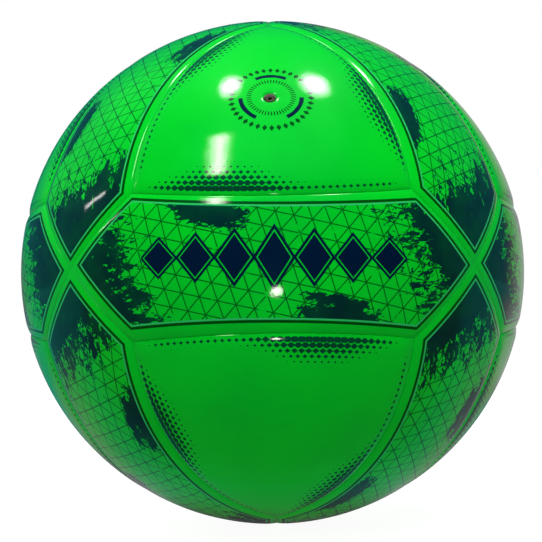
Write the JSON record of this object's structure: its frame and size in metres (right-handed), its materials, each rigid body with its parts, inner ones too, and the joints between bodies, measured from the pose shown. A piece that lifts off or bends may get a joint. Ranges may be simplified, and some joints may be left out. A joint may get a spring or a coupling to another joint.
{
  "type": "futsal ball",
  "caption": "Glossy round futsal ball: pillowed long and three-sided panels over foam pads, a fabric lining and a bladder with a needle valve.",
  "frame": {"origin": "the ball's centre", "axes": "+Z through the upper point where four long panels cross, -Y through the middle of the front long panel; the valve is in the three-sided panel above it"},
  "size_m": [0.1974, 0.1974, 0.197],
  "materials": {
    "cover": "glossy clear-coated PU skin in neon green, printed in dark green",
    "foam": "closed-cell EVA foam, off-white, matte",
    "lining": "woven polyester and cotton laminate, off-white",
    "bladder": "black butyl rubber, dull",
    "valve": "brown moulded rubber, slightly waxy"
  },
  "bodies": {
    "root": {"bladder": "bladder", "foam_long_panel_back": "foam", "foam_long_panel_front": "foam", "foam_long_panel_left": "foam", "foam_long_panel_lower_back_left": "foam", "foam_long_panel_lower_back_right": "foam", "foam_long_panel_lower_front_left": "foam", "foam_long_panel_lower_front_right": "foam", "foam_long_panel_right": "foam", "foam_long_panel_upper_back_left": "foam", "foam_long_panel_upper_back_right": "foam", "foam_long_panel_upper_front_left": "foam", "foam_long_panel_upper_front_right": "foam", "foam_triangle_panel_lower_back": "foam", "foam_triangle_panel_lower_front": "foam", "foam_triangle_panel_lower_left": "foam", "foam_triangle_panel_lower_right": "foam", "foam_triangle_panel_upper_back": "foam", "foam_triangle_panel_upper_front": "foam", "foam_triangle_panel_upper_left": "foam", "foam_triangle_panel_upper_right": "foam", "lining": "lining", "long_panel_back": "cover", "long_panel_front": "cover", "long_panel_left": "cover", "long_panel_lower_back_left": "cover", "long_panel_lower_back_right": "cover", "long_panel_lower_front_left": "cover", "long_panel_lower_front_right": "cover", "long_panel_right": "cover", "long_panel_upper_back_left": "cover", "long_panel_upper_back_right": "cover", "long_panel_upper_front_left": "cover", "long_panel_upper_front_right": "cover", "triangle_panel_lower_back": "cover", "triangle_panel_lower_front": "cover", "triangle_panel_lower_left": "cover", "triangle_panel_lower_right": "cover", "triangle_panel_upper_back": "cover", "triangle_panel_upper_front": "cover", "triangle_panel_upper_left": "cover", "triangle_panel_upper_right": "cover", "valve_housing": "bladder", "valve_plug": "valve"}
  },
  "joints": []
}
